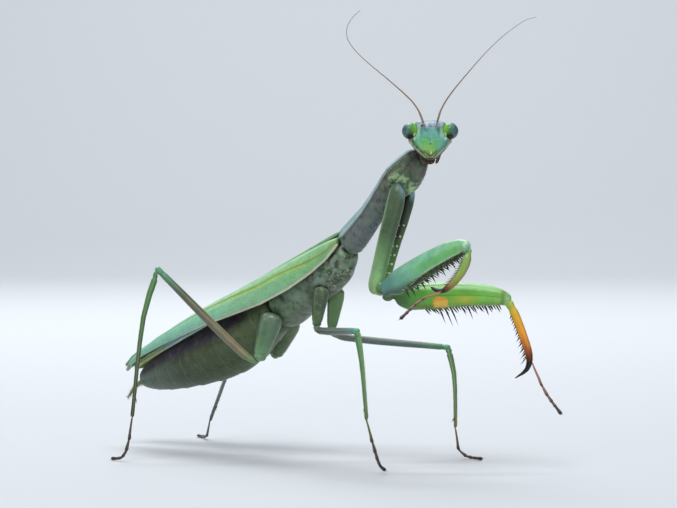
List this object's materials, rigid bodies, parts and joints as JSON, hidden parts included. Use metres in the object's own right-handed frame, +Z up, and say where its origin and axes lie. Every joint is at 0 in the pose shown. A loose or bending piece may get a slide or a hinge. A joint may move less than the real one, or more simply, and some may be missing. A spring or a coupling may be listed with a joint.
{
  "type": "praying mantis",
  "caption": "Life-size still model of a green female praying mantis, striding on thin legs with her spined grasping legs raised and her head turned aside.",
  "frame": {"origin": "on the floor, below the middle of the animal's box", "axes": "+X the way the body heads, +Y to her left, +Z up"},
  "size_m": [0.0696, 0.0334, 0.0598],
  "materials": {
    "head": "satin teal to yellow-green cuticle",
    "eye": "glossy banded compound eye",
    "antenna": "matt tan bristle",
    "mouth": "satin reddish brown",
    "thorax": "satin grey-green cuticle with pale margins",
    "abdomen": "satin dark olive with a purple band",
    "tegmen": "leathery veined green",
    "hindwing": "thin pale blue-grey membrane",
    "fore_leg": "satin turquoise to green cuticle",
    "fore_shin": "satin green to orange-brown",
    "walking_leg": "satin green to taupe cuticle",
    "foot": "satin dark brown"
  },
  "bodies": {
    "root": {"head": "head", "eye_left": "eye", "eye_right": "eye", "antenna_left": "antenna", "antenna_right": "antenna", "mouthparts": "mouth", "palp_left": "mouth", "palp_right": "mouth", "neck": "thorax", "prothorax": "thorax", "pterothorax": "thorax", "abdomen": "abdomen", "cercus_left": "abdomen", "cercus_right": "abdomen", "tegmen_left": "tegmen", "tegmen_right": "tegmen", "hindwing_left": "hindwing", "hindwing_right": "hindwing", "fore_coxa_left": "fore_leg", "fore_coxa_right": "fore_leg", "fore_trochanter_left": "fore_leg", "fore_trochanter_right": "fore_leg", "fore_femur_left": "fore_leg", "fore_femur_right": "fore_leg", "fore_tibia_left": "fore_shin", "fore_tibia_right": "fore_shin", "fore_tarsus_left": "foot", "fore_tarsus_right": "foot", "mid_coxa_left": "walking_leg", "mid_coxa_right": "walking_leg", "mid_femur_left": "walking_leg", "mid_femur_right": "walking_leg", "mid_tibia_left": "walking_leg", "mid_tibia_right": "walking_leg", "mid_tarsus_left": "foot", "mid_tarsus_right": "foot", "hind_coxa_left": "walking_leg", "hind_coxa_right": "walking_leg", "hind_femur_left": "walking_leg", "hind_femur_right": "walking_leg", "hind_tibia_left": "walking_leg", "hind_tibia_right": "walking_leg", "hind_tarsus_left": "foot", "hind_tarsus_right": "foot"}
  },
  "joints": []
}
